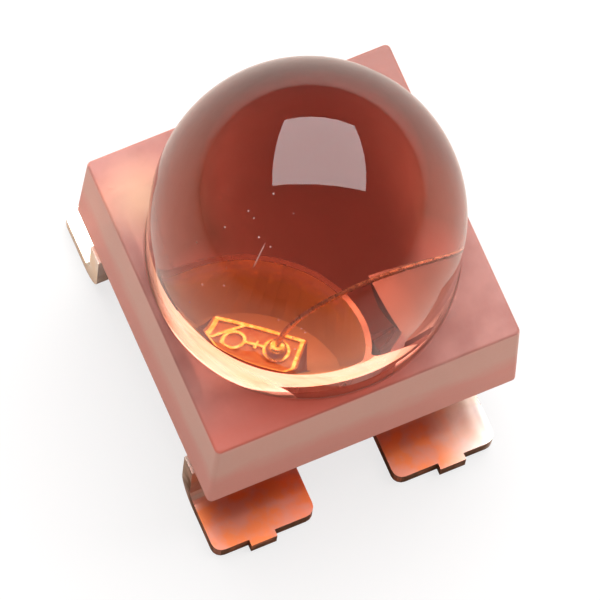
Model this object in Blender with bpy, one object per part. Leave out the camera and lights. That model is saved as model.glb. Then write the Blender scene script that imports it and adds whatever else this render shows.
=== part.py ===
# Surface-mount LED lamp: a square moulded body with a tall clear dome on four formed metal feet.
# Lengths are in metres and +Z is up. The origin is on the board plane, under the middle of the body.

import bmesh
import bpy
from math import asin, cos, degrees, pi, radians, sin
from mathutils import Matrix, Vector

MM = 0.001

# Moulded body, measured at its flat top face
BODY_WIDTH = 4.2 * MM
BODY_HEIGHT = 1.9 * MM
BODY_DRAFT = 0.054 * MM      # how far each side spreads from the top face to the underside
BODY_CORNER_R = 0.07 * MM    # upright edges
BODY_EDGE_R = 0.04 * MM      # rim of the top face
STANDOFF = 1.45 * MM         # board to the body's underside

# Dome: half an ellipsoid on a straight round skirt
LENS_R = 2.0 * MM
SKIRT_HEIGHT = 1.23 * MM
CROWN_HEIGHT = 2.25 * MM
LENS_FILLET_R = 0.035 * MM   # between the skirt and the top face
LENS_ROOT = 0.3 * MM         # how deep the dome's solid is rooted in the body

# Formed strip that both frames are stamped from
STRIP_T = 0.25 * MM
LEAD_WIDTH = 1.42 * MM
LEAD_PITCH = 2.54 * MM
LEAD_SHIFT = -0.174 * MM     # middle of the lead pairs in X
NECK_WIDTH = 1.17 * MM       # the lead's width where it enters the resin
SHOULDER_DROP = 0.25 * MM    # underside of the body to the lead's shoulder
RISER_FACE_Y = 1.65 * MM     # outer face of the upright part
FOOT_REACH = 2.5 * MM        # middle of the body to the end of the foot
BEND_R = 0.15 * MM           # inside radius of each bend
FOOT_CORNER_R = 0.14 * MM
FRAME_DEPTH = 0.10 * MM      # top face of the body to the top of the frames

# Sheared stub of the tie bar at the end of each foot
STUB_WIDTH = 0.36 * MM
STUB_LENGTH = 0.09 * MM
STUB_SHIFT = 0.06 * MM       # outwards from the middle of the foot

# Reflector cup under the lens
CUP_X = -0.20 * MM
CUP_Y = -0.08 * MM
CUP_RIM_R = 0.475 * MM
CUP_FLOOR_R = 0.42 * MM
CUP_DEPTH = 0.34 * MM
CUP_WALL = 0.02 * MM
CUP_BASE_T = 0.14 * MM
CUP_LAND = 0.005 * MM        # strip left around the cup's outer wall

# Plate that carries the cup, in front of it and to its left
PLATE_BACK = 0.18 * MM       # cup's axis to the plate's back edge
PLATE_RIGHT_X = 0.62 * MM
PLATE_FRONT_Y = -1.14 * MM
PLATE_LEAN = 28              # degrees round the cup from +X to where the plate's slanted edge meets it
FRAME_GAP = 0.18 * MM        # resin between the two frames

# Landing for the wire, on the right frame: it reaches towards the cup
LANDING_X = 0.40 * MM        # its tip
LANDING_BACK_Y = 0.11 * MM
LANDING_TIP_Y = -0.40 * MM   # front corner of the tip
LANDING_ROOT_Y = -1.02 * MM  # where its slanted front edge meets the frame

# Die, its adhesive and its contact
CHIP_SIDE = 0.355 * MM
CHIP_HEIGHT = 0.13 * MM
CHIP_TURN = radians(-42)
CHIP_X = 0.035 * MM          # from the cup's axis
CHIP_Y = 0.07 * MM
ADHESIVE_T = 0.012 * MM
ADHESIVE_SPREAD = 0.012 * MM
CONTACT_T = 0.005 * MM
CONTACT_LINE = 0.014 * MM    # width of the frame line
CONTACT_INSET = 0.006 * MM
RING_LEFT_R = 0.042 * MM
RING_RIGHT_R = 0.054 * MM
RING_SPACING = 0.162 * MM
RING_BACK = 0.085 * MM       # from the die's middle towards its back edge
TRACK_WIDTH = 0.011 * MM     # of the rings and of the tracks that join them
CROSS_LENGTH = 0.036 * MM    # short mark across the track between the rings
SLANT_LOW = 0.074 * MM       # height of the slanted track at the left edge, from the die's middle
SLANT_RUN = 0.104 * MM       # how far along the back edge it comes in

# Bond wire
WIRE_D = 0.025 * MM
BALL_D = 0.075 * MM
BALL_HEIGHT = 0.03 * MM
LOOP_RISE = 0.12 * MM        # the loop's first handle above the frames' top
LOOP_LIFT = 0.46 * MM        # its second handle above the frames' top
LOOP_LEAN = 0.38 * MM        # how far the second handle stands back from the stitch
STITCH_X = 1.08 * MM
STITCH_Y = -0.07 * MM
STITCH_LENGTH = 0.09 * MM
STITCH_WIDTH = 0.06 * MM
STITCH_T = 0.012 * MM

# Clearances
FIT = 0.010 * MM             # between the resin and what it encloses
SEAT = 0.003 * MM            # between stacked flat faces

LENS_SIDES = 96
ROUND_SIDES = 64
RING_SIDES = 32
WIRE_SIDES = 12
WIRE_STEPS = 26

TOP_Z = STANDOFF + BODY_HEIGHT
FRAME_TOP_Z = TOP_Z - FRAME_DEPTH
FRAME_BOTTOM_Z = FRAME_TOP_Z - STRIP_T
CUP_FLOOR_Z = FRAME_TOP_Z - CUP_DEPTH
SHOULDER_Z = STANDOFF - SHOULDER_DROP
CUP_OUTER_R = CUP_RIM_R + CUP_WALL
TONGUE_R = CUP_OUTER_R + CUP_LAND
LEFT_X = LEAD_SHIFT - LEAD_PITCH / 2
RIGHT_X = LEAD_SHIFT + LEAD_PITCH / 2
ADHESIVE_Z = CUP_FLOOR_Z + SEAT
CHIP_Z = ADHESIVE_Z + ADHESIVE_T + SEAT
CONTACT_Z = CHIP_Z + CHIP_HEIGHT + SEAT
BALL_Z = CONTACT_Z + CONTACT_T + SEAT
STITCH_Z = FRAME_TOP_Z + SEAT

RESIN = ("resin", (0.80, 0.42, 0.36), 0.25, 0.0)
PLATING = ("tin plating", (0.78, 0.72, 0.66), 0.35, 1.0)
DIE = ("die", (0.85, 0.32, 0.12), 0.35, 0.0)
PASTE = ("silver paste", (0.70, 0.68, 0.64), 0.55, 1.0)
GOLD = ("gold", (1.00, 0.72, 0.32), 0.25, 1.0)


def clear_scene():
    for old in list(bpy.data.objects):
        bpy.data.objects.remove(old, do_unlink=True)


def make_material(kind):
    name, colour, roughness, metallic = kind
    material = bpy.data.materials.get(name)
    if material is None:
        material = bpy.data.materials.new(name)
        material.use_nodes = True
        shader = material.node_tree.nodes["Principled BSDF"]
        shader.inputs["Base Color"].default_value = (*colour, 1.0)
        shader.inputs["Roughness"].default_value = roughness
        shader.inputs["Metallic"].default_value = metallic
    return material


def add_object(name, bm, kind):
    bmesh.ops.recalc_face_normals(bm, faces=bm.faces)
    mesh = bpy.data.meshes.new(name)
    bm.to_mesh(mesh)
    bm.free()
    mesh.materials.append(make_material(kind))
    obj = bpy.data.objects.new(name, mesh)
    bpy.context.scene.collection.objects.link(obj)
    return obj


def make_tool(name, bm, kind):
    tool = add_object(name, bm, kind)
    tool.hide_render = True
    tool.display_type = "WIRE"
    return tool


def apply_boolean(target, tool, operation):
    step = target.modifiers.new(tool.name, "BOOLEAN")
    step.operation = operation
    step.solver = "EXACT"
    step.object = tool


def shade_round(obj):
    obj.data.shade_smooth()
    obj.data.set_sharp_from_angle(angle=radians(35))


def arc(centre, radius, start, end, steps):
    # Points on an arc, angles in degrees, both ends included
    points = []
    for step in range(steps + 1):
        angle = radians(start + (end - start) * step / steps)
        points.append((centre[0] + radius * cos(angle), centre[1] + radius * sin(angle)))
    return points


def prism(outline, low, high, axis="Z"):
    # Straight solid: the outline lies in XY for axis Z and in YZ for axis X
    bm = bmesh.new()
    if axis == "Z":
        corners = [bm.verts.new((x, y, low)) for x, y in outline]
        travel = Vector((0, 0, high - low))
    else:
        corners = [bm.verts.new((low, y, z)) for y, z in outline]
        travel = Vector((high - low, 0, 0))
    face = bm.faces.new(corners)
    grown = bmesh.ops.extrude_face_region(bm, geom=[face])
    moved = [item for item in grown["geom"] if isinstance(item, bmesh.types.BMVert)]
    bmesh.ops.translate(bm, verts=moved, vec=travel)
    return bm


def box(x_range, y_range, z_range):
    outline = [(x_range[0], y_range[0]), (x_range[1], y_range[0]),
               (x_range[1], y_range[1]), (x_range[0], y_range[1])]
    return prism(outline, z_range[0], z_range[1])


def loft(rings):
    # Closed solid through rings of the same number of points, each ring a list of 3-D points
    bm = bmesh.new()
    loops = [[bm.verts.new(point) for point in ring] for ring in rings]
    for lower, upper in zip(loops, loops[1:]):
        for i in range(len(lower)):
            j = (i + 1) % len(lower)
            bm.faces.new((lower[i], lower[j], upper[j], upper[i]))
    bm.faces.new(loops[0])
    bm.faces.new(loops[-1])
    return bm


def turned(profile, sides, x=0.0, y=0.0):
    # Solid of revolution about a line parallel to Z: the profile is (radius, z) from base to top.
    # A radius of zero is allowed at the top only, where the surface closes in a point.
    bm = bmesh.new()
    loops = []
    for radius, z in profile:
        if radius > 0:
            angles = [2 * pi * i / sides for i in range(sides)]
            loops.append([bm.verts.new((x + radius * cos(a), y + radius * sin(a), z)) for a in angles])
        else:
            loops.append([bm.verts.new((x, y, z))])
    for lower, upper in zip(loops, loops[1:]):
        for i in range(sides):
            j = (i + 1) % sides
            if len(upper) == 1:
                bm.faces.new((lower[i], lower[j], upper[0]))
            else:
                bm.faces.new((lower[i], lower[j], upper[j], upper[i]))
    bm.faces.new(loops[0])
    if len(loops[-1]) > 1:
        bm.faces.new(loops[-1])
    return bm


def rounded_square(half, radius, z, steps=5):
    inner = half - radius
    ring = []
    for corner, (sx, sy) in enumerate(((1, 1), (-1, 1), (-1, -1), (1, -1))):
        for px, py in arc((sx * inner, sy * inner), radius, 90 * corner, 90 * corner + 90, steps):
            ring.append((px, py, z))
    return ring


# Resin


def body_block():
    half = BODY_WIDTH / 2
    rings = [rounded_square(half + BODY_DRAFT, BODY_CORNER_R, STANDOFF)]
    for px, pz in arc((-BODY_EDGE_R, TOP_Z - BODY_EDGE_R), BODY_EDGE_R, 0, 90, 3):
        rings.append(rounded_square(half + px, BODY_CORNER_R, pz))
    return loft(rings)


def lens_block():
    skirt_top = TOP_Z + SKIRT_HEIGHT
    profile = [(LENS_R + LENS_FILLET_R, TOP_Z - LENS_ROOT)]
    centre = (LENS_R + LENS_FILLET_R, TOP_Z + LENS_FILLET_R)
    profile += arc(centre, LENS_FILLET_R, 260, 180, 3)
    for angle in range(0, 90, 6):
        tilt = radians(angle)
        profile.append((LENS_R * cos(tilt), skirt_top + CROWN_HEIGHT * sin(tilt)))
    profile.append((0.0, skirt_top + CROWN_HEIGHT))
    return turned(profile, LENS_SIDES)


# Stamped frames


def strip_profile(grow):
    # Section of the formed strip in YZ: foot, riser, bridge, riser, foot, thickened by grow
    outer = BEND_R + STRIP_T
    riser_in = RISER_FACE_Y - STRIP_T
    foot_end = FOOT_REACH + 2 * STUB_LENGTH
    top_side = [(foot_end, STRIP_T + grow)]
    top_side += arc((RISER_FACE_Y + BEND_R, outer), BEND_R - grow, 270, 180, 4)
    top_side += arc((riser_in - BEND_R, FRAME_BOTTOM_Z - BEND_R), outer + grow, 0, 90, 6)
    under_side = arc((riser_in - BEND_R, FRAME_BOTTOM_Z - BEND_R), BEND_R - grow, 90, 0, 4)
    under_side += arc((RISER_FACE_Y + BEND_R, outer), outer + grow, 180, 270, 6)
    under_side.append((foot_end, -grow))
    far_top = [(-y, z) for y, z in top_side[::-1]]
    far_under = [(-y, z) for y, z in under_side[::-1]]
    return top_side + far_top + far_under + under_side


def foot_end_outline(middle, outward, grow):
    # Plan of the front foot's end from its left edge to its right edge, with the tie-bar stub
    half = LEAD_WIDTH / 2 + grow
    end = FOOT_REACH + grow
    stub = middle + outward * STUB_SHIFT
    r = FOOT_CORNER_R
    points = arc((middle - half + r, -end + r), r, 180, 270, 4)
    points += [(stub - STUB_WIDTH / 2, -end), (stub - STUB_WIDTH / 2, -end - STUB_LENGTH)]
    points += [(stub + STUB_WIDTH / 2, -end - STUB_LENGTH), (stub + STUB_WIDTH / 2, -end)]
    points += arc((middle + half - r, -end + r), r, 270, 360, 4)
    return points


def cathode_plan(grow):
    front = foot_end_outline(LEFT_X, -1, grow)
    back = [(x, -y) for x, y in front[::-1]]
    lead_x = LEFT_X + LEAD_WIDTH / 2 + grow
    round_r = TONGUE_R + grow
    plate_back = PLATE_BACK + grow
    plate = [(lead_x, PLATE_FRONT_Y - grow), (PLATE_RIGHT_X + grow, PLATE_FRONT_Y - grow)]
    plate += arc((CUP_X, CUP_Y), round_r, -PLATE_LEAN, 180 - degrees(asin(plate_back / round_r)), 36)
    plate += [(lead_x, CUP_Y + plate_back)]
    return front + plate + back


def anode_plan(grow):
    front = foot_end_outline(RIGHT_X, 1, grow)
    back = [(x, -y) for x, y in front[::-1]]
    gap = FRAME_GAP - grow
    recess_x = PLATE_RIGHT_X + gap
    near_x = RIGHT_X - LEAD_WIDTH / 2 - grow
    recess_y = gap - PLATE_FRONT_Y
    tip_x = LANDING_X - grow
    landing = [(recess_x, LANDING_BACK_Y + grow), (tip_x, LANDING_BACK_Y + grow),
               (tip_x, LANDING_TIP_Y - grow), (recess_x, LANDING_ROOT_Y - grow)]
    return front + back + [(near_x, recess_y), (recess_x, recess_y)] + landing + [
        (recess_x, -recess_y), (near_x, -recess_y)]


def neck_notch(side, grow):
    # Waste beside the neck, on the outer side of the lead, above its shoulder
    middle = LEFT_X if side < 0 else RIGHT_X
    inner = middle - side * LEAD_WIDTH / 2
    near = inner + side * (NECK_WIDTH + grow)
    far = middle + side * LEAD_WIDTH
    span_y = 2 * FOOT_REACH
    return box(sorted((near, far)), (-span_y, span_y), (SHOULDER_Z + grow, TOP_Z))


def cup_boss(grow):
    base = CUP_FLOOR_Z - CUP_BASE_T - grow
    middle = FRAME_TOP_Z - STRIP_T / 2
    return turned([(CUP_OUTER_R + grow, base), (CUP_OUTER_R + grow, middle)], ROUND_SIDES, CUP_X, CUP_Y)


def cup_hollow(grow):
    # The flared hollow, carried on above the rim so that its cut is clean
    flare = (CUP_RIM_R - CUP_FLOOR_R) / CUP_DEPTH
    over = STRIP_T
    profile = [(CUP_FLOOR_R - grow, CUP_FLOOR_Z + grow), (CUP_RIM_R - grow + flare * over, FRAME_TOP_Z + over)]
    return turned(profile, ROUND_SIDES, CUP_X, CUP_Y)


def frame_solid(name, side, grow, hidden=False):
    # One frame: the formed strip, trimmed to its plan, with necks and, on the left one, the cup
    middle = LEFT_X if side < 0 else RIGHT_X
    low = middle - LEAD_WIDTH / 2 - grow
    high = middle + LEAD_WIDTH / 2 + grow
    if side < 0:
        high = PLATE_RIGHT_X + grow
    margin = STRIP_T
    maker = make_tool if hidden else add_object
    frame = maker(name, prism(strip_profile(grow), low - margin, high + margin, "X"), PLATING)
    plan = cathode_plan(grow) if side < 0 else anode_plan(grow)
    apply_boolean(frame, make_tool(name + ".plan", prism(plan, -STRIP_T, TOP_Z + margin), PLATING), "INTERSECT")
    apply_boolean(frame, make_tool(name + ".neck", neck_notch(side, grow), PLATING), "DIFFERENCE")
    if side < 0:
        apply_boolean(frame, make_tool(name + ".boss", cup_boss(grow), PLATING), "UNION")
        apply_boolean(frame, make_tool(name + ".hollow", cup_hollow(grow), PLATING), "DIFFERENCE")
    shade_round(frame)
    return frame


# Die, adhesive and contact, built about the die's middle and then turned into place


def chip_place():
    return Matrix.Translation((CUP_X + CHIP_X, CUP_Y + CHIP_Y, 0)) @ Matrix.Rotation(CHIP_TURN, 4, "Z")


def chip_slab(half, low, high):
    bm = box((-half, half), (-half, half), (low, high))
    bmesh.ops.transform(bm, matrix=chip_place(), verts=bm.verts)
    return bm


def adhesive_block():
    half = CHIP_SIDE / 2 + ADHESIVE_SPREAD
    rings = [rounded_square(half, ADHESIVE_SPREAD, ADHESIVE_Z),
             rounded_square(half - ADHESIVE_SPREAD / 2, ADHESIVE_SPREAD, ADHESIVE_Z + ADHESIVE_T)]
    bm = loft(rings)
    bmesh.ops.transform(bm, matrix=chip_place(), verts=bm.verts)
    return bm


def contact_tool(contact, tag, bm, operation):
    bmesh.ops.transform(bm, matrix=chip_place(), verts=bm.verts)
    apply_boolean(contact, make_tool("contact." + tag, bm, GOLD), operation)


def track(start, end, width, low, high):
    # Straight bar between two points on the die's top
    along = (Vector(end) - Vector(start)).normalized() * (width / 2)
    aside = (-along.y, along.x)
    outline = [(start[0] + aside[0], start[1] + aside[1]), (start[0] - aside[0], start[1] - aside[1]),
               (end[0] - aside[0], end[1] - aside[1]), (end[0] + aside[0], end[1] + aside[1])]
    return prism(outline, low, high)


def contact_object():
    # A frame line round the die's edge, two rings near the back edge and the tracks that join them
    outer = CHIP_SIDE / 2 - CONTACT_INSET
    top = CONTACT_Z + CONTACT_T
    line_middle = outer - CONTACT_LINE / 2
    contact = add_object("chip_contact", chip_slab(outer, CONTACT_Z, top), GOLD)
    window = chip_slab(outer - CONTACT_LINE, CONTACT_Z - CONTACT_T, top + CONTACT_T)
    apply_boolean(contact, make_tool("contact.window", window, GOLD), "DIFFERENCE")
    left_x, right_x = -RING_SPACING / 2, RING_SPACING / 2
    tracks = {
        "slant": ((-line_middle, SLANT_LOW), (-line_middle + SLANT_RUN, line_middle)),
        "middle": ((left_x, RING_BACK), (right_x, RING_BACK)),
        "stem": ((right_x, RING_BACK), (right_x, line_middle)),
        "cross": ((0, RING_BACK - CROSS_LENGTH / 2), (0, RING_BACK + CROSS_LENGTH / 2)),
    }
    for tag, (start, end) in tracks.items():
        contact_tool(contact, tag, track(start, end, TRACK_WIDTH, CONTACT_Z, top), "UNION")
    rings = (("left", left_x, RING_LEFT_R), ("right", right_x, RING_RIGHT_R))
    for tag, x, radius in rings:
        disc = turned([(radius, CONTACT_Z), (radius, top)], RING_SIDES, x, RING_BACK)
        contact_tool(contact, "disc_" + tag, disc, "UNION")
    for tag, x, radius in rings:
        inner = radius - TRACK_WIDTH
        hole = turned([(inner, CONTACT_Z - CONTACT_T), (inner, top + CONTACT_T)], RING_SIDES, x, RING_BACK)
        contact_tool(contact, "hole_" + tag, hole, "DIFFERENCE")
    return contact


# Bond wire


def wire_route():
    # A cubic curve from the ball straight up and over to the stitch
    pad = chip_place() @ Vector((RING_SPACING / 2, RING_BACK, 0))
    start = Vector((pad.x, pad.y, BALL_Z + BALL_HEIGHT / 2))
    end = Vector((STITCH_X, STITCH_Y, STITCH_Z + WIRE_D / 2))
    along = (end - start).to_2d().normalized()
    first = Vector((start.x, start.y, FRAME_TOP_Z + LOOP_RISE))
    second = Vector((end.x - along.x * LOOP_LEAN, end.y - along.y * LOOP_LEAN, FRAME_TOP_Z + LOOP_LIFT))
    points = []
    for step in range(WIRE_STEPS + 1):
        t = step / WIRE_STEPS
        s = 1 - t
        points.append(start * s**3 + first * (3 * s * s * t) + second * (3 * s * t * t) + end * t**3)
    return points


def tube(points, radius):
    # Round bar along points that all lie in one upright plane
    side = (points[-1] - points[0]).cross(Vector((0, 0, 1))).normalized()
    rings = []
    for i, point in enumerate(points):
        ahead = points[min(i + 1, len(points) - 1)]
        behind = points[max(i - 1, 0)]
        along = (ahead - behind).normalized()
        up = side.cross(along)
        ring = []
        for k in range(WIRE_SIDES):
            angle = 2 * pi * k / WIRE_SIDES
            ring.append(point + (side * cos(angle) + up * sin(angle)) * radius)
        rings.append(ring)
    return loft(rings)


def ball_block(start, grow):
    radius = BALL_D / 2
    waist = BALL_Z + BALL_HEIGHT / 2
    profile = []
    for angle in range(-60, 61, 20):
        tilt = radians(angle)
        profile.append((radius * cos(tilt) + grow, waist + (BALL_HEIGHT / 2 + grow) * sin(tilt) / sin(radians(60))))
    return turned(profile, WIRE_SIDES * 2, start.x, start.y)


def stitch_block(end, grow):
    # The wire's end pressed flat: an oval wafer on the landing
    bm = turned([(1.0, 0.0), (1.0, 0.4), (0.7, 1.0)], WIRE_SIDES * 2)
    size = (STITCH_LENGTH / 2 + grow, STITCH_WIDTH / 2 + grow, STITCH_T + 2 * grow)
    bmesh.ops.scale(bm, vec=size, verts=bm.verts)
    bmesh.ops.translate(bm, vec=(end.x, end.y, STITCH_Z - grow), verts=bm.verts)
    return bm


def wire_object(name, grow, hidden=False):
    points = wire_route()
    maker = make_tool if hidden else add_object
    wire = maker(name, tube(points, WIRE_D / 2 + grow), GOLD)
    apply_boolean(wire, make_tool(name + ".ball", ball_block(points[0], grow), GOLD), "UNION")
    apply_boolean(wire, make_tool(name + ".stitch", stitch_block(points[-1], grow), GOLD), "UNION")
    shade_round(wire)
    return wire


def chip_cavity():
    # One pocket round the die, its adhesive and its contact, down into the frame's own pocket
    half = CHIP_SIDE / 2 + ADHESIVE_SPREAD + FIT
    return chip_slab(half, CUP_FLOOR_Z, CONTACT_Z + CONTACT_T + FIT)


def build_resin():
    resin = add_object("lens_body", body_block(), RESIN)
    apply_boolean(resin, make_tool("resin.lens", lens_block(), RESIN), "UNION")
    apply_boolean(resin, frame_solid("resin.cathode", -1, FIT, hidden=True), "DIFFERENCE")
    apply_boolean(resin, frame_solid("resin.anode", 1, FIT, hidden=True), "DIFFERENCE")
    apply_boolean(resin, make_tool("resin.chip", chip_cavity(), RESIN), "DIFFERENCE")
    apply_boolean(resin, wire_object("resin.wire", FIT, hidden=True), "DIFFERENCE")
    shade_round(resin)


def build_metalwork():
    frame_solid("cathode_frame", -1, 0.0)
    frame_solid("anode_frame", 1, 0.0)


def build_die():
    add_object("die_adhesive", adhesive_block(), PASTE)
    add_object("led_chip", chip_slab(CHIP_SIDE / 2, CHIP_Z, CHIP_Z + CHIP_HEIGHT), DIE)
    contact_object()
    wire_object("bond_wire", 0.0)


clear_scene()
build_resin()
build_metalwork()
build_die()
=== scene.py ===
import math

import bpy
import numpy as np
from mathutils import Matrix, Vector


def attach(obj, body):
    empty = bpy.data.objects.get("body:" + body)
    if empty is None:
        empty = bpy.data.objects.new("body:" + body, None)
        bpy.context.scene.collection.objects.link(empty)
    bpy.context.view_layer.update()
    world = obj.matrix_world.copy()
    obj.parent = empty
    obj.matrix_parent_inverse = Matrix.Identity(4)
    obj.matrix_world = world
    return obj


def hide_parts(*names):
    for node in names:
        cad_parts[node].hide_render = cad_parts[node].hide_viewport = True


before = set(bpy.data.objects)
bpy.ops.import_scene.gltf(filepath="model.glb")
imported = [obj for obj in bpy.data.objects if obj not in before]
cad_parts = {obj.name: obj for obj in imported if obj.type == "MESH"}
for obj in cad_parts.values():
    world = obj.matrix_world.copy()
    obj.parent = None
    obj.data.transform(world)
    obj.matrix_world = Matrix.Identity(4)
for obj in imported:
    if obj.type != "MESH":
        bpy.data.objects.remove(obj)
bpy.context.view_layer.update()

mm = 0.001                         # every size below is in millimetres
print("frame: loaded", len(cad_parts), "nodes")


# Helpers

def linearColour(hexCode):
    # sRGB hex to linear RGBA
    values = [int(hexCode[i:i + 2], 16) / 255 for i in (1, 3, 5)]
    return tuple(v / 12.92 if v <= 0.04045 else ((v + 0.055) / 1.055) ** 2.4 for v in values) + (1.0,)


def addNode(owner, kind, settings=None):
    # one node of a material or world. Each setting names a property or a socket, or numbers a socket.
    # A node given for it is linked from its first output in use, an output is linked as it is, a hex
    # code becomes a linear colour, and anything else is the value itself. A Mix node's numbered sockets
    # are 0 for the factor, 6 and 7 for colours, and 2 and 3 for numbers
    tree = owner.node_tree
    node = tree.nodes.new(kind)
    for key, value in (settings or {}).items():
        if isinstance(key, str) and hasattr(node, key):
            setattr(node, key, value)
        elif isinstance(value, bpy.types.Node):
            tree.links.new(next(output for output in value.outputs if output.enabled), node.inputs[key])
        elif isinstance(value, bpy.types.NodeSocket):
            tree.links.new(value, node.inputs[key])
        else:
            node.inputs[key].default_value = linearColour(value) if isinstance(value, str) else value
    return node


def newMaterial(name):
    material = bpy.data.materials.new(name)
    material.use_nodes = True
    material.node_tree.nodes.clear()
    return material


def addPlace(material):
    # where a point lies on the object, in millimetres
    metres = addNode(material, "ShaderNodeTexCoord").outputs["Object"]
    return addNode(material, "ShaderNodeMapping", {
        "vector_type": "POINT", "Vector": metres, "Scale": (1 / mm, 1 / mm, 1 / mm)})


def addArea(material, place, limits, most=1.0):
    # most on one area of the object, 0 off it. Each limit says where the area's soft edge starts and
    # ends, along X, Y or Z or, where a centre is given, in level distance from the standing axis there
    axis = addNode(material, "ShaderNodeSeparateXYZ", {0: place}).outputs
    area = most
    for way, (start, end) in limits:
        if isinstance(way, str):
            source = axis[way]
        else:
            level = addNode(material, "ShaderNodeVectorMath", {
                "operation": "MULTIPLY", 0: place, 1: (1, 1, 0)})
            source = addNode(material, "ShaderNodeVectorMath", {
                "operation": "DISTANCE", 0: level, 1: (*way, 0)})
        area = addNode(material, "ShaderNodeMapRange", {
            "Value": source, "From Min": start, "From Max": end, "To Max": area})
    return area


noiseSpan = (0.3, 0.7)             # smooth noise has nearly all of its values in here


def addBlotches(material, place, size, detail, span, low=0.0, high=1.0):
    # cloudy noise with forms of the given size, from low to high over a span of its values
    cloud = addNode(material, "ShaderNodeTexNoise", {"Vector": place, "Scale": 1 / size, "Detail": detail})
    return addNode(material, "ShaderNodeMapRange", {
        "Value": cloud, "From Min": span[0], "From Max": span[1], "To Min": low, "To Max": high})


def meshFromGrid(name, points, material, capLow=True, capHigh=True):
    # points[row, column] closes round its columns; a cap is a fan to the mean of its end row
    rows, columns = points.shape[:2]
    index = np.arange(rows * columns).reshape(rows, columns)
    ahead = np.roll(index, -1, axis=1)
    quads = np.stack([index[:-1], ahead[:-1], ahead[1:], index[1:]], axis=-1).reshape(-1, 4)
    vertices = [points.reshape(-1, 3)]
    triangles = []
    for wanted, row, turned in ((capLow, 0, True), (capHigh, -1, False)):
        if wanted:
            pole = sum(len(v) for v in vertices)
            vertices.append(points[row].mean(axis=0)[None])
            fan = [index[row], ahead[row], np.full(columns, pole)]
            triangles += np.stack(fan[::-1] if turned else fan, axis=-1).tolist()
    mesh = bpy.data.meshes.new(name)
    mesh.from_pydata(np.concatenate(vertices).tolist(), [], quads.tolist() + triangles)
    mesh.materials.append(material)
    mesh.shade_smooth()
    mesh.update()
    piece = bpy.data.objects.new(name, mesh)
    bpy.context.scene.collection.objects.link(piece)
    return piece


# Camera, at the photograph's angle

cameraLook = {
    "azimuth": -32.065, "elevation": 72.0, "roll": 8.997,   # degrees
    "aimAt": (0.0, 0.0, 3.35),       # middle of the body's top face
    "distance": 120.0,
    "pictureWidth": 600.0,           # pixels, as are the next two
    "focalLength": 9486.0,
    "aimPixel": (303.19, 247.46),    # where the aimed point falls in the picture
    "sensorWidth": 36.0,
}


def addCamera(look):
    azimuth, elevation, roll = (math.radians(look[k]) for k in ("azimuth", "elevation", "roll"))
    away = Vector((math.sin(azimuth) * math.cos(elevation), -math.cos(azimuth) * math.cos(elevation),
                   math.sin(elevation)))
    right = Vector((math.cos(azimuth), math.sin(azimuth), 0.0))
    up = away.cross(right)
    turnedRight = right * math.cos(roll) + up * math.sin(roll)
    turnedUp = up * math.cos(roll) - right * math.sin(roll)
    place = Vector(look["aimAt"]) + away * look["distance"]
    # the picture's middle, as a point beside the aimed one
    middle, perPixel = look["pictureWidth"] / 2, look["distance"] / look["focalLength"]
    offX = (middle - look["aimPixel"][0]) * perPixel
    offY = (look["aimPixel"][1] - middle) * perPixel
    target = Vector(look["aimAt"]) + turnedRight * offX + turnedUp * offY
    back = (place - target).normalized()
    side = turnedUp.cross(back).normalized()
    data = bpy.data.cameras.new("camera")
    data.sensor_width = look["sensorWidth"]
    data.lens = look["focalLength"] * data.sensor_width / look["pictureWidth"]
    data.clip_start = 0.005
    data.clip_end = 2.0
    camera = bpy.data.objects.new("camera", data)
    axes = Matrix((side, back.cross(side), back)).transposed().to_4x4()
    camera.matrix_world = Matrix.Translation(place * mm) @ axes
    bpy.context.scene.collection.objects.link(camera)
    bpy.context.scene.camera = camera
    bpy.context.scene.view_settings.view_transform = "Standard"


addCamera(cameraLook)
print("camera: placed")


# Moulded resin: body, skirt and dome in one skin

resinShape = {
    "bodyWidth": 4.2, "bodyHeight": 1.9, "standoff": 1.45,
    "draft": 0.054,                  # how far each side spreads from the top face to the underside
    "cornerRadius": 0.07,            # upright edges
    "edgeRadius": 0.04, "lowEdgeRadius": 0.02,
    "domeRadius": 2.0, "skirtHeight": 1.23, "crownHeight": 2.25, "filletRadius": 0.035,
    "columnsPerSide": 96, "columnsPerCorner": 8,
    "sideSweep": 42.0,               # degrees to either side that a side's columns are fanned over
    "underShares": (0.04, 0.3, 0.6, 0.85, 0.97),
    "lowEdgeRows": 4, "sideRows": 21, "edgeRows": 5, "topRows": 13, "skirtRows": 19, "crownRows": 65,
}


def squareRing(shape):
    # around the body: corner signs (cx, cy) and a direction angle a, so that a rounded square of
    # half width h and corner radius r is (h - r) * (cx, cy) + r * (cos a, sin a)
    signs = np.array([(1, 1), (-1, 1), (-1, -1), (1, -1)], float)
    cornerSteps = np.linspace(0.0, 1.0, shape["columnsPerCorner"] + 1)
    sweep = math.radians(shape["sideSweep"])
    sideAngle = np.linspace(-1.0, 1.0, shape["columnsPerSide"] + 1)[1:-1] * sweep
    sideSteps = (np.tan(sideAngle) / math.tan(sweep) + 1) / 2
    cx, cy, turn = [], [], []
    for k in range(4):
        here, following = signs[k], signs[(k + 1) % 4]
        cx += [np.full(cornerSteps.size, here[0]), here[0] + (following[0] - here[0]) * sideSteps]
        cy += [np.full(cornerSteps.size, here[1]), here[1] + (following[1] - here[1]) * sideSteps]
        turn += [90.0 * k + 90.0 * cornerSteps, np.full(sideSteps.size, 90.0 * (k + 1))]
    return np.concatenate(cx), np.concatenate(cy), np.radians(np.concatenate(turn))


def stretch(half, corner, s, radius, z):
    # rows of the skin's profile, one for each value of whichever is an array
    return np.stack(np.broadcast_arrays(half, corner, s, radius, z), axis=-1)


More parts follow.
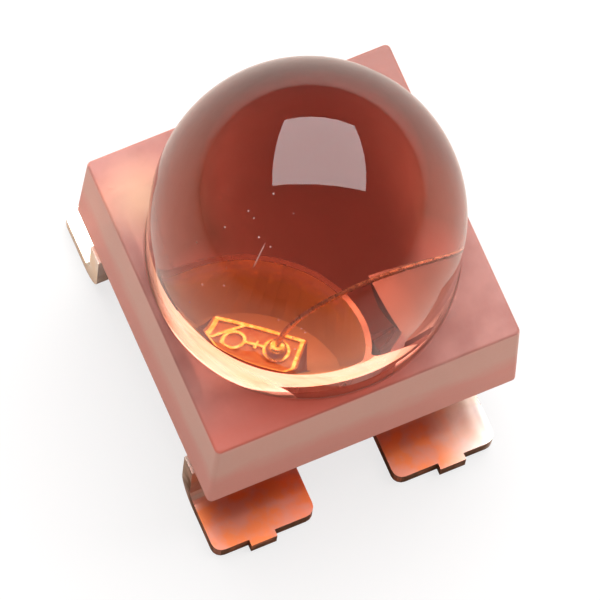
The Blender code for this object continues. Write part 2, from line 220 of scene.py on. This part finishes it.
def resinPoints(shape):
    # rows from the middle of the underside, out, up the sides, over the top face and up the dome.
    # Row: (1 - s) * rounded square(half, corner) + s * circle(radius), at height z
    half, corner, draft = shape["bodyWidth"] / 2, shape["cornerRadius"], shape["draft"]
    edge, lowEdge, fillet = shape["edgeRadius"], shape["lowEdgeRadius"], shape["filletRadius"]
    low, high = shape["standoff"], shape["standoff"] + shape["bodyHeight"]
    sideLow, sideHigh, inner = low + lowEdge, high - edge, half - edge
    dome, skirtTop = shape["domeRadius"], high + shape["skirtHeight"]
    share = np.array(shape["underShares"])
    lowArc = np.radians(np.linspace(-90, 0, shape["lowEdgeRows"]))
    rise = np.linspace(0, 1, shape["sideRows"] + 1)[1:]
    arc = np.radians(np.linspace(0, 90, shape["edgeRows"] + 1)[1:])
    roundness = np.linspace(0, 1, shape["topRows"] + 1)[1:]
    skirt = np.linspace(high + fillet, skirtTop, shape["skirtRows"] + 1)[1:]
    crown = np.radians(np.linspace(0, 90, shape["crownRows"] + 1)[1:-1])
    profile = np.concatenate([
        stretch((half + draft) * share, corner * share, 0, dome, low),
        stretch(half + draft - lowEdge * (1 - np.cos(lowArc)), corner, 0, dome,
                low + lowEdge * (1 + np.sin(lowArc))),
        stretch(half + draft * (1 - rise), corner, 0, dome, sideLow + (sideHigh - sideLow) * rise),
        stretch(half - edge * (1 - np.cos(arc)), corner, 0, dome, sideHigh + edge * np.sin(arc)),
        stretch(inner, corner, roundness, dome + fillet, high),
        stretch(inner, corner, 1, dome + fillet * (1 - np.sin(arc)), high + fillet * (1 - np.cos(arc))),
        stretch(inner, corner, 1, dome, skirt),
        stretch(inner, corner, 1, dome * np.cos(crown), skirtTop + shape["crownHeight"] * np.sin(crown)),
    ])
    half, corner, s, radius, z = (profile[:, i, None] for i in range(5))
    cx, cy, turn = squareRing(shape)
    squareX = (half - corner) * cx + corner * np.cos(turn)
    squareY = (half - corner) * cy + corner * np.sin(turn)
    way = np.arctan2(squareY, squareX)
    x = (1 - s) * squareX + s * radius * np.cos(way)
    y = (1 - s) * squareY + s * radius * np.sin(way)
    return np.stack([x, y, np.broadcast_to(z, x.shape)], axis=-1) * mm


resinFinish = {
    # the clear resin: what its polished dome lets in, less of it low at the back as painted shade, and what
    # its depth keeps
    "ior": 1.53, "polish": 0.025,
    "crownTint": "#FFFBF8", "lowShadeTint": "#AECBC0", "lowZ": (6.4, 6.15), "lowLean": 0.3, "lowY": (-1.0, -0.6),
    "depthTint": "#F88138", "depthDensity": 310.0,           # density per metre
    # the matt skin: tones, and the share of light that it lets through
    "mattRoughness": (0.55, 0.69), "grainSize": 0.035, "mottleSize": 0.5, "mottleSpan": (0.35, 0.65),
    "topLight": "#D4948A", "topDark": "#C07E74", "topClear": 0.44,
    # painted light: an orange pool of light on the top face's front, below the dome
    "frontX": (1.0, 0.0), "frontY": (-1.2, -1.9), "frontPaintedLightTone": "#E67C6A",
    # painted shade: the top face's back right corner is darker
    "backX": (0.6, 1.6), "backY": (0.1, 1.4), "backPaintedShadeTone": "#B27A70",
    # painted glow: the top face's back left corner is lighter and less clear
    "paintedGlowCentre": (-1.62, 1.4), "paintedGlowReach": (0.66, 0.1), "paintedGlowTone": "#E0AC8E", "paintedGlowClear": 0.18,
    # painted light: both side bands are lighter than the top face
    "litSideUpper": "#FFD2C4", "litSideLower": "#FFB8AC", "sideClear": 0.27,
    "sideSplit": (2.55, 2.08), "splitWaver": 0.16,
    # painted light: the underside is lighter towards the back, where the dome shows it
    "underFront": "#BC9A90", "underBackLit": "#F4C4AC", "underY": (0.3, 0.75), "underClear": 0.6,
    # heights from the top face and from the underside at which one skin gives way to the next
    "domeStart": (0.01, 0.02), "flankStart": (-0.01, -0.03), "underStart": (0.03, 0.01),
    # dust and a scratch on the dome
    "marksZ": (4.6, 4.7), "marksRoughness": 0.5, "marksClear": 0.68,
    "dustSpacing": 0.2, "dustRadius": (0.016, 0.0096), "dustX": (-0.3, -0.8), "dustY": (0.5, 0.0),
    "scratchAt": (-1.05, -0.70, 0.0), "scratchTurn": 37.0, "scratchLength": (0.15, 0.075),
    "scratchWidth": (0.012, 0.0), "scratchDepth": 0.9,
}


def addScratch(material, place, look):
    # a short straight line as seen from above, faint towards its ends and sides
    turned = addNode(material, "ShaderNodeMapping", {
        "vector_type": "TEXTURE", "Vector": place, "Location": look["scratchAt"],
        "Rotation": (0, 0, math.radians(look["scratchTurn"]))})
    folded = addNode(material, "ShaderNodeVectorMath", {"operation": "ABSOLUTE", 0: turned})
    return addArea(material, folded, [("X", look["scratchLength"]), ("Y", look["scratchWidth"])],
                   look["scratchDepth"])


def addDust(material, place, look):
    # round specks, one in each cell of a loose grid, on the dome's left front
    cells = addNode(material, "ShaderNodeTexVoronoi", {"Vector": place, "Scale": 1 / look["dustSpacing"]})
    start, end = (radius / look["dustSpacing"] for radius in look["dustRadius"])
    dusty = addArea(material, place, [("X", look["dustX"]), ("Y", look["dustY"])])
    return addNode(material, "ShaderNodeMapRange", {
        "Value": cells, "From Min": start, "From Max": end, "To Max": dusty})


def resinMaterial(look, shape):
    # Red-tinted epoxy, cast. The mould is spark-eroded round the body, which leaves its faces matt and
    # milky, and polished round the dome, which stays clear; a little dust and a scratch mark the dome
    material = newMaterial("tinted_epoxy_cast")
    place = addPlace(material)
    axis = addNode(material, "ShaderNodeSeparateXYZ", {0: place}).outputs
    low, top = shape["standoff"], shape["standoff"] + shape["bodyHeight"]
    dome = addArea(material, place, [("Z", [top + rise for rise in look["domeStart"]])])
    flank = addArea(material, place, [("Z", [top + rise for rise in look["flankStart"]])])
    under = addArea(material, place, [("Z", [low + rise for rise in look["underStart"]])])
    # painted light on the top face's front, below the dome
    front = addArea(material, place, [("X", look["frontX"]), ("Y", look["frontY"])])
    # painted shade on the top face's back right corner
    back = addArea(material, place, [("X", look["backX"]), ("Y", look["backY"])])
    mottle = addBlotches(material, place, look["mottleSize"], 3.0, look["mottleSpan"])
    # painted glow: the top face is lighter and less clear near its back left corner, in place of the left
    # frame's bright back bar shining through
    glow = addArea(material, place, [(look["paintedGlowCentre"], look["paintedGlowReach"])])
    dust = addDust(material, place, look)
    scratch = addScratch(material, place, look)
    marks = addNode(material, "ShaderNodeMath", {"operation": "MAXIMUM", 0: dust, 1: scratch})
    marks = addArea(material, place, [("Z", look["marksZ"])], marks)

    # the sides have a greyer upper and a pinker lower band, with an uneven border; both bands are painted
    # lighter than the top face, as painted light
    border = addNode(material, "ShaderNodeMath", {
        "operation": "MULTIPLY_ADD", 0: mottle, 1: look["splitWaver"], 2: axis["Z"]})
    start, end = (z + look["splitWaver"] / 2 for z in look["sideSplit"])
    lowerBand = addNode(material, "ShaderNodeMapRange", {"Value": border, "From Min": start, "From Max": end})
    sides = addNode(material, "ShaderNodeMix", {
        "data_type": "RGBA", 0: lowerBand, 6: look["litSideUpper"], 7: look["litSideLower"]})
    # painted light: the underside is lighter towards the back
    underBackLit = addArea(material, place, [("Y", look["underY"])])
    underside = addNode(material, "ShaderNodeMix", {
        "data_type": "RGBA", 0: underBackLit, 6: look["underFront"], 7: look["underBackLit"]})
    # painted shade tints the dome greyer low at the back, measured along a way that leans a little to the
    # right
    backward = addNode(material, "ShaderNodeMath", {
        "operation": "MULTIPLY_ADD", 0: axis["X"], 1: look["lowLean"], 2: axis["Y"]})
    start, end = look["lowY"]
    lowBackShade = addNode(material, "ShaderNodeMapRange", {
        "Value": backward, "From Min": start, "From Max": end,
        "To Max": addArea(material, place, [("Z", look["lowZ"])])})
    crown = addNode(material, "ShaderNodeMix", {
        "data_type": "RGBA", 0: lowBackShade, 6: look["crownTint"], 7: look["lowShadeTint"]})

    tint = look["topLight"]
    for mask, tone in (
            (mottle, look["topDark"]), (front, look["frontPaintedLightTone"]), (back, look["backPaintedShadeTone"]),
            (glow, look["paintedGlowTone"]), (flank, sides), (under, underside), (dome, crown)):
        tint = addNode(material, "ShaderNodeMix", {"data_type": "RGBA", 0: mask, 6: tint, 7: tone})
    clear = look["topClear"]
    for mask, share in (
            (glow, look["paintedGlowClear"]), (flank, look["sideClear"]), (under, look["underClear"]),
            (dome, 1.0), (marks, look["marksClear"])):
        clear = addNode(material, "ShaderNodeMix", {"data_type": "FLOAT", 0: mask, 2: clear, 3: share})
    roughness = addBlotches(material, place, look["grainSize"], 1.0, noiseSpan, *look["mattRoughness"])
    for mask, amount in ((dome, look["polish"]), (marks, look["marksRoughness"])):
        roughness = addNode(material, "ShaderNodeMix", {
            "data_type": "FLOAT", 0: mask, 2: roughness, 3: amount})
    shader = addNode(material, "ShaderNodeBsdfPrincipled", {
        "Base Color": tint, "Roughness": roughness, "Transmission Weight": clear, "IOR": look["ior"]})
    depth = addNode(material, "ShaderNodeVolumeAbsorption", {
        "Color": look["depthTint"], "Density": look["depthDensity"]})
    addNode(material, "ShaderNodeOutputMaterial", {"Surface": shader, "Volume": depth})
    return material


resin = meshFromGrid("moulded_resin", resinPoints(resinShape), resinMaterial(resinFinish, resinShape))
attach(resin, "root")
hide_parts("lens_body")
print("resin: one skin of", len(resin.data.polygons), "faces")


# Metal frames, die, paste and gold

plating = {
    "bright": "#FFFDF8", "warm": "#F8ECD6", "cloudSize": 0.55, "cloudSpan": (0.35, 0.65),
    "stain": "#A88662", "stainSize": 0.3, "stainSpan": (0.56, 0.75), "stainDepth": 0.3,
    "rollSize": 0.06, "rollStretch": 12.0, "rollSpan": (0.5, 0.8), "rollDepth": 0.08,
    "roughness": (0.27, 0.33),
    # front feet, painted red-orange: painted light and shade from the red resin body
    "feetRedLightDeep": "#E68656", "feetRedLightPale": "#D8907A", "feetRedLightSpan": (0.42, 0.58),
    "feetRedLightX": (1.8, 1.0), "feetRedLightY": (-1.3, -1.9), "feetRedLightRoughness": 0.06,
    # sheared faces
    "innerEdge": "#F6E4CC", "copperEdge": "#7A5232", "edgeY": (-1.2, -1.6), "edgeRoughness": 0.2,
    "edgeLean": (0.7, 0.95), "edgeSpan": (0.35, 0.55), "edgeLeast": 0.5, "toeZ": (0.3, 0.25),
    # the wire's landing, darkened by painted shade
    "landingX": (0.36, 0.40), "landingY": (-0.75, -0.45), "landingZ": (2.95, 3.0),
    "landingShadeNear": "#A28A7E", "landingShadeFar": "#544A46", "landingShadeFade": (0.4, 0.95), "landingRoughness": 0.2,
    # reflector cup, with distances from its axis; a painted glow under its back rim and painted shade on the
    # rim
    "cupAxis": (-0.20, -0.08), "cupReach": (0.48, 0.4752), "cupZ": (3.249, 3.246),
    "cupTone": "#FFF4AA", "cupRoughness": 0.22, "paintedGlowZ": (3.11, 3.19), "paintedGlowTone": "#FFF0F0",
    "rimReach": (0.52, 0.51), "rimBackY": (-0.02, 0.08), "rimShadeTone": "#603E30",
    "rimSideX": (0.12, 0.2), "rimSideY": (-0.5, -0.4), "rimSideShadeTone": "#B09078",
}


def addShearing(material, place, look):
    # faces that look sideways, and near the board those that look forwards or back, a little uneven
    normal = addNode(material, "ShaderNodeNewGeometry").outputs["Normal"]
    lean = addNode(material, "ShaderNodeVectorMath", {"operation": "ABSOLUTE", 0: normal})
    sideways, lengthways, _ = addNode(material, "ShaderNodeSeparateXYZ", {0: lean}).outputs
    toe = addArea(material, place, [("Z", look["toeZ"])])
    toeEnds = addNode(material, "ShaderNodeMath", {"operation": "MULTIPLY", 0: lengthways, 1: toe})
    edgeward = addNode(material, "ShaderNodeMath", {"operation": "MAXIMUM", 0: sideways, 1: toeEnds})
    start, end = look["edgeLean"]
    uneven = addBlotches(material, place, look["stainSize"], 4.0, look["edgeSpan"], low=look["edgeLeast"])
    return addNode(material, "ShaderNodeMapRange", {
        "Value": edgeward, "From Min": start, "From Max": end, "To Max": uneven})


def platedMaterial(look):
    # Rolled copper strip, stamped and then tin plated: faint rolling lines along the leads, cloudy
    # warm staining from soldering heat, and bare copper on the sheared edges of the front feet
    material = newMaterial("tin_plated_copper")
    place = addPlace(material)
    cloudy = addBlotches(material, place, look["cloudSize"], 3.0, look["cloudSpan"])
    stained = addBlotches(material, place, look["stainSize"], 4.0, look["stainSpan"], high=look["stainDepth"])
    along = 1 / look["rollStretch"]
    rolled = addNode(material, "ShaderNodeMapping", {
        "vector_type": "POINT", "Vector": place, "Scale": (1, along, along)})
    lined = addBlotches(material, rolled, look["rollSize"], 0.0, look["rollSpan"], high=look["rollDepth"])
    # the front feet are painted red-orange with the red light and shade that the resin body casts on them,
    # least on the right one's outside
    feetRedLightArea = addArea(material, place, [("X", look["feetRedLightX"]), ("Y", look["feetRedLightY"])])
    feetRedLightBlotches = addBlotches(material, place, look["stainSize"], 4.0, look["feetRedLightSpan"])
    feetRedLight = addNode(material, "ShaderNodeMix", {
        "data_type": "RGBA", 0: feetRedLightBlotches, 6: look["feetRedLightDeep"], 7: look["feetRedLightPale"]})
    sheared = addShearing(material, place, look)
    outer = addArea(material, place, [("Y", look["edgeY"])])
    edges = addNode(material, "ShaderNodeMix", {
        "data_type": "RGBA", 0: outer, 6: look["innerEdge"], 7: look["copperEdge"]})
    # the wire's landing is satin and rosier, and darkened by painted shade that deepens towards its far end
    landing = addArea(material, place, [
        ("X", look["landingX"]), ("Y", look["landingY"]), ("Z", look["landingZ"])])
    landingFarShade = addArea(material, place, [("X", look["landingShadeFade"])])
    landingShadeTone = addNode(material, "ShaderNodeMix", {
        "data_type": "RGBA", 0: landingFarShade, 6: look["landingShadeNear"], 7: look["landingShadeFar"]})
    # the cup has warm flanks with a painted glow under the rim, and a coined rim darkened by painted shade at
    # the back and on its right side
    cup = look["cupAxis"]
    inside = addArea(material, place, [(cup, look["cupReach"]), ("Z", look["cupZ"])])
    paintedGlowBand = addArea(material, place, [("Y", look["rimBackY"]), ("Z", look["paintedGlowZ"])])
    flanks = addNode(material, "ShaderNodeMix", {
        "data_type": "RGBA", 0: paintedGlowBand, 6: look["cupTone"], 7: look["paintedGlowTone"]})
    rimBackShade = addArea(material, place, [(cup, look["rimReach"]), ("Y", look["rimBackY"])])
    rimSideShade = addArea(material, place, [
        (cup, look["rimReach"]), ("X", look["rimSideX"]), ("Y", look["rimSideY"])])

    colour = look["bright"]
    for mask, tone in (
            (cloudy, look["warm"]), (stained, look["stain"]), (lined, look["stain"]),
            (feetRedLightArea, feetRedLight), (sheared, edges), (landing, landingShadeTone),
            (rimSideShade, look["rimSideShadeTone"]), (rimBackShade, look["rimShadeTone"]), (inside, flanks)):
        colour = addNode(material, "ShaderNodeMix", {"data_type": "RGBA", 0: mask, 6: colour, 7: tone})
    roughness = addBlotches(material, rolled, look["rollSize"], 0.0, noiseSpan, *look["roughness"])
    for mask, part in ((sheared, "edge"), (inside, "cup"), (landing, "landing"), (feetRedLightArea, "feetRedLight")):
        roughness = addNode(material, "ShaderNodeMath", {
            "operation": "MULTIPLY_ADD", 0: mask, 1: look[part + "Roughness"], 2: roughness})
    shader = addNode(material, "ShaderNodeBsdfPrincipled", {
        "Base Color": colour, "Roughness": roughness, "Metallic": 1.0})
    addNode(material, "ShaderNodeOutputMaterial", {"Surface": shader})
    return material


def grainedMaterial(name, look, finish, detail=2.0):
    # two tones in small lumps that change the roughness too; finish gives the shader's other settings
    material = newMaterial(name)
    place = addPlace(material)
    roughness = addBlotches(material, place, look["lumpSize"], detail, noiseSpan, *look["roughness"])
    coats = [(addBlotches(material, place, look["lumpSize"], detail, look["lumpSpan"]), look["lumpTone"])]
    if "wire" in look:
        coats.append((addArea(material, place, [("Z", look["wireZ"])]), look["wire"]))
    if "sawn" in look:
        normal = addNode(material, "ShaderNodeNewGeometry").outputs["Normal"]
        coats.append((addArea(material, normal, [("Z", look["sawnLean"])]), look["sawn"]))
    colour = look["tone"]
    for mask, tone in coats:
        colour = addNode(material, "ShaderNodeMix", {"data_type": "RGBA", 0: mask, 6: colour, 7: tone})
    shader = addNode(material, "ShaderNodeBsdfPrincipled", {
        "Base Color": colour, "Roughness": roughness, **finish})
    addNode(material, "ShaderNodeOutputMaterial", {"Surface": shader})
    return material


# Evaporated contact gold and drawn gold wire: the contact bright and softly grained, the wire browner
goldLook = {"tone": "#FFF690", "lumpTone": "#FFD850", "lumpSize": 0.02, "lumpSpan": (0.35, 0.65),
            "wire": "#E8C49A", "wireZ": (3.10, 3.16), "roughness": (0.2, 0.38)}

# Epitaxial wafer sawn into dice: a satin orange-red face, darker and rougher on the sawn sides
dieLook = {"tone": "#F6CC58", "lumpTone": "#EEA238", "lumpSize": 0.05, "lumpSpan": (0.35, 0.65),
           "sawn": "#A04A2C", "sawnLean": (0.8, 0.3), "roughness": (0.25, 0.5)}

# Silver-filled epoxy squeezed out under the die: dull metal flakes in a grey binder
pasteLook = {"tone": "#D8D2C6", "lumpTone": "#9C9488", "lumpSize": 0.012, "lumpSpan": (0.4, 0.6),
             "roughness": (0.4, 0.7)}


def dress(node, material):
    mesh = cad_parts[node].data
    mesh.materials.clear()
    mesh.materials.append(material)


plated = platedMaterial(plating)
gold = grainedMaterial("gold", goldLook, {"Metallic": 1.0})
dress("cathode_frame", plated)
dress("anode_frame", plated)
dress("led_chip", grainedMaterial("semiconductor_die", dieLook, {}, 3.0))
dress("die_adhesive", grainedMaterial("silver_paste", pasteLook, {"Metallic": 0.8}))
dress("chip_contact", gold)
dress("bond_wire", gold)
print("metal and die: dressed")


# Floor and light

studio = {
    "floorRadius": 150.0, "floorCentre": 2.0, "floorRings": 12, "floorColumns": 96,
    "floorDrop": 0.002,              # just under the soles, so that no faces share a plane
    "floorColour": "#CABCB4", "floorSeen": "#E8E8E8",        # for the light, and for the camera
    "floorLift": 0.75,               # how much of what the camera sees of the floor is plain white
    "sky": "#948A85", "skyStrength": 1.0,
    "softboxSize": (88.0, 93.0), "softboxHeight": 60.0, "softboxBehind": 46.0, "softboxAside": 2.0,
    "softboxTurn": 7.0, "softboxStrength": 5.6,
}


def addFloor(look):
    # rings whose radii grow evenly in proportion, with a fan in the middle
    angles = np.linspace(0, 2 * math.pi, look["floorColumns"] + 1)[:-1]
    radii = np.geomspace(look["floorCentre"], look["floorRadius"], look["floorRings"])[:, None]
    drop = np.full((look["floorRings"], look["floorColumns"]), -look["floorDrop"])
    points = np.stack([radii * np.cos(angles), radii * np.sin(angles), drop], axis=-1)
    # Uncoated white card: it keeps the object's soft shadow, and the camera sees it as nearly plain white
    material = newMaterial("white_card")
    seen = addNode(material, "ShaderNodeLightPath").outputs["Is Camera Ray"]
    tone = addNode(material, "ShaderNodeMix", {
        "data_type": "RGBA", 0: seen, 6: look["floorColour"], 7: look["floorSeen"]})
    card = addNode(material, "ShaderNodeBsdfDiffuse", {"Color": tone})
    white = addNode(material, "ShaderNodeEmission", {"Color": "#FFFFFF", "Strength": 1.0})
    lift = addNode(material, "ShaderNodeMath", {"operation": "MULTIPLY", 0: seen, 1: look["floorLift"]})
    both = addNode(material, "ShaderNodeMixShader", {0: lift, 1: card, 2: white})
    addNode(material, "ShaderNodeOutputMaterial", {"Surface": both})
    floor = meshFromGrid("floor", points * mm, material, capHigh=False)
    floor.data.flip_normals()


def addWorld(look):
    world = bpy.data.worlds.new("studio")
    world.use_nodes = True
    world.node_tree.nodes.clear()
    seen = addNode(world, "ShaderNodeLightPath").outputs["Is Camera Ray"]
    sky = addNode(world, "ShaderNodeBackground", {"Color": look["sky"], "Strength": look["skyStrength"]})
    white = addNode(world, "ShaderNodeBackground", {"Color": "#FFFFFF", "Strength": 1.0})
    both = addNode(world, "ShaderNodeMixShader", {0: seen, 1: sky, 2: white})
    addNode(world, "ShaderNodeOutputWorld", {"Surface": both})
    bpy.context.scene.world = world


def addSoftbox(look):
    # level above the object, shifted behind it as the camera sees it
    azimuth = math.radians(cameraLook["azimuth"])
    behind = Vector((-math.sin(azimuth), math.cos(azimuth), 0.0)) * look["softboxBehind"]
    aside = Vector((math.cos(azimuth), math.sin(azimuth), 0.0)) * look["softboxAside"]
    place = Vector(cameraLook["aimAt"]) + behind + aside + Vector((0, 0, look["softboxHeight"]))
    turn = Matrix.Rotation(azimuth + math.radians(look["softboxTurn"]), 4, "Z")
    data = bpy.data.lights.new("softbox", "AREA")
    data.shape = "RECTANGLE"
    data.size, data.size_y = (s * mm for s in look["softboxSize"])
    # radiance of an area lamp is power / (pi * area)
    data.energy = look["softboxStrength"] * math.pi * data.size * data.size_y
    lamp = bpy.data.objects.new("softbox", data)
    lamp.matrix_world = Matrix.Translation(place * mm) @ turn
    bpy.context.scene.collection.objects.link(lamp)


addFloor(studio)
addWorld(studio)
addSoftbox(studio)
print("stage: floor, world and softbox")
